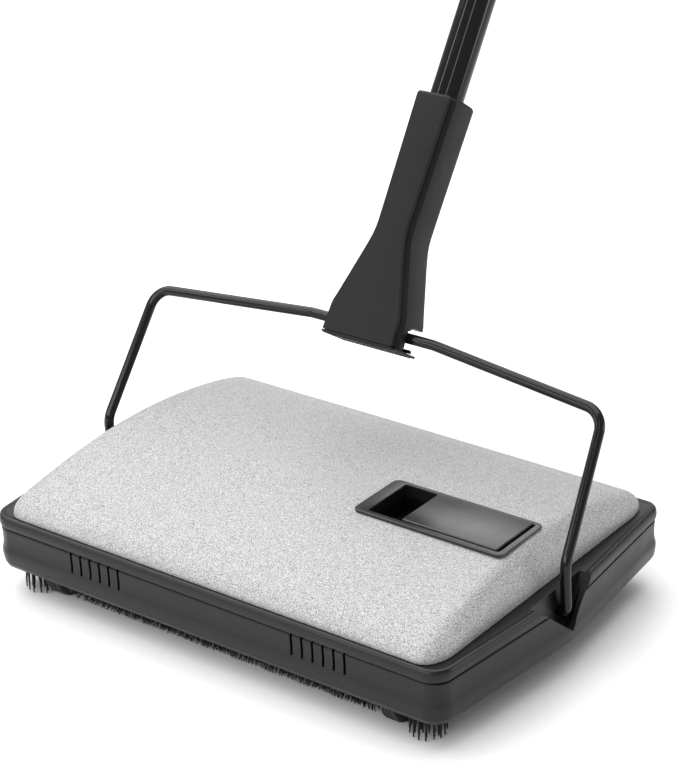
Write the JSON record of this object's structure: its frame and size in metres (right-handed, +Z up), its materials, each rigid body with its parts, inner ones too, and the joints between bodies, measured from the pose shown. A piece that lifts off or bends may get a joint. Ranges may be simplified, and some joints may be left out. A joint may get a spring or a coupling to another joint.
{
  "type": "carpet sweeper",
  "caption": "Manual carpet sweeper: black housing, silver domed cover, wheel-driven brush rollers, opening dustpans, front corner brushes and a tilting bail handle.",
  "frame": {"origin": "on the floor, under the middle of the whole object's box, with the handle leaning back as it is stored; the housing's centre is 0.230 m in front of it", "axes": "+Z up, +X along the rollers to the side with the slider, -Y to the front, the way the sweeper is pushed"},
  "size_m": [0.312, 0.6681, 0.9106],
  "materials": {
    "housing_black": "moulded charcoal black, fine satin texture",
    "cover_silver": "silver paint with a fine metallic fleck, semi-matt",
    "slider_grey": "satin dark grey moulding",
    "well_black": "matt black, unlit recess",
    "pan_black": "moulded black",
    "socket_black": "moulded charcoal black, satin",
    "grey_nylon": "natural grey nylon",
    "bristle_black": "black nylon bristle",
    "wheel_rubber": "black rubber",
    "grip_rubber": "black soft rubber, fine ribs",
    "wire_black": "gloss black enamel on steel wire",
    "tube_black": "gloss black enamel on steel tube",
    "steel": "zinc-plated steel"
  },
  "bodies": {
    "sweeper_body": {"lower_housing": "housing_black", "top_cover": "cover_silver", "slider_bezel": "slider_grey", "finger_well": "well_black", "chassis": "housing_black", "slider_spring": "steel", "cover_screw_front_left": "steel", "corner_brush_left": "bristle_black", "front_left_roller_bush": "steel", "cover_screw_front_right": "steel", "corner_brush_right": "bristle_black", "front_right_roller_bush": "steel", "front_pan_pin": "steel", "front_pan_spring": "steel", "cover_screw_rear_left": "steel", "rear_left_roller_bush": "steel", "cover_screw_rear_right": "steel", "rear_right_roller_bush": "steel", "rear_pan_pin": "steel", "rear_pan_spring": "steel", "bail_bush_left": "grey_nylon", "bail_bush_right": "grey_nylon"},
    "handle": {"bail_wire": "wire_black", "socket_shell": "socket_black", "socket_base": "socket_black", "tube_lower": "tube_black", "tube_middle": "tube_black", "tube_upper": "tube_black", "lower_ferrule": "socket_black", "upper_ferrule": "socket_black", "grip": "grip_rubber", "end_cap": "socket_black"},
    "front_roller": {"front_left_hub": "grey_nylon", "front_left_tyre": "wheel_rubber", "front_right_hub": "grey_nylon", "front_right_tyre": "wheel_rubber", "front_roller_shaft": "steel", "front_brush_core": "grey_nylon", "front_brush_bristles": "bristle_black"},
    "rear_roller": {"rear_left_hub": "grey_nylon", "rear_left_tyre": "wheel_rubber", "rear_right_hub": "grey_nylon", "rear_right_tyre": "wheel_rubber", "rear_roller_shaft": "steel", "rear_brush_core": "grey_nylon", "rear_brush_bristles": "bristle_black"},
    "slider": {"slider_plate": "slider_grey", "spreader_cam": "grey_nylon", "cam_screw": "steel"},
    "front_pan": {"front_dustpan": "pan_black"},
    "rear_pan": {"rear_dustpan": "pan_black"}
  },
  "joints": [
    {"name": "handle_tilt", "type": "hinge", "parent": "sweeper_body", "child": "handle", "pos_m": [0, -0.23073, 0.032], "axis": [-1, 0, 0], "range_deg": [-38.4, 46.6]},
    {"name": "front_roller_spin", "type": "hinge", "parent": "sweeper_body", "child": "front_roller", "pos_m": [0, -0.31373, 0.015], "axis": [1, 0, 0], "continuous": true},
    {"name": "rear_roller_spin", "type": "hinge", "parent": "sweeper_body", "child": "rear_roller", "pos_m": [0, -0.14773, 0.015], "axis": [1, 0, 0], "continuous": true},
    {"name": "slider_push", "type": "slide", "parent": "sweeper_body", "child": "slider", "axis": [-1, 0, 0], "range_m": [0, 0.019], "stiffness_N_per_m": 150, "springref_m": -0.02},
    {"name": "front_pan_open", "type": "hinge", "parent": "sweeper_body", "child": "front_pan", "pos_m": [0, -0.23473, 0.011], "axis": [1, 0, 0], "range_deg": [0, 40]},
    {"name": "rear_pan_open", "type": "hinge", "parent": "sweeper_body", "child": "rear_pan", "pos_m": [0, -0.22673, 0.011], "axis": [-1, 0, 0], "range_deg": [0, 40]}
  ],
  "couplings": [
    {"joint": "front_pan_open", "follows": "slider_push", "rad_per_m": 36.7},
    {"joint": "rear_pan_open", "follows": "slider_push", "rad_per_m": 36.7}
  ]
}
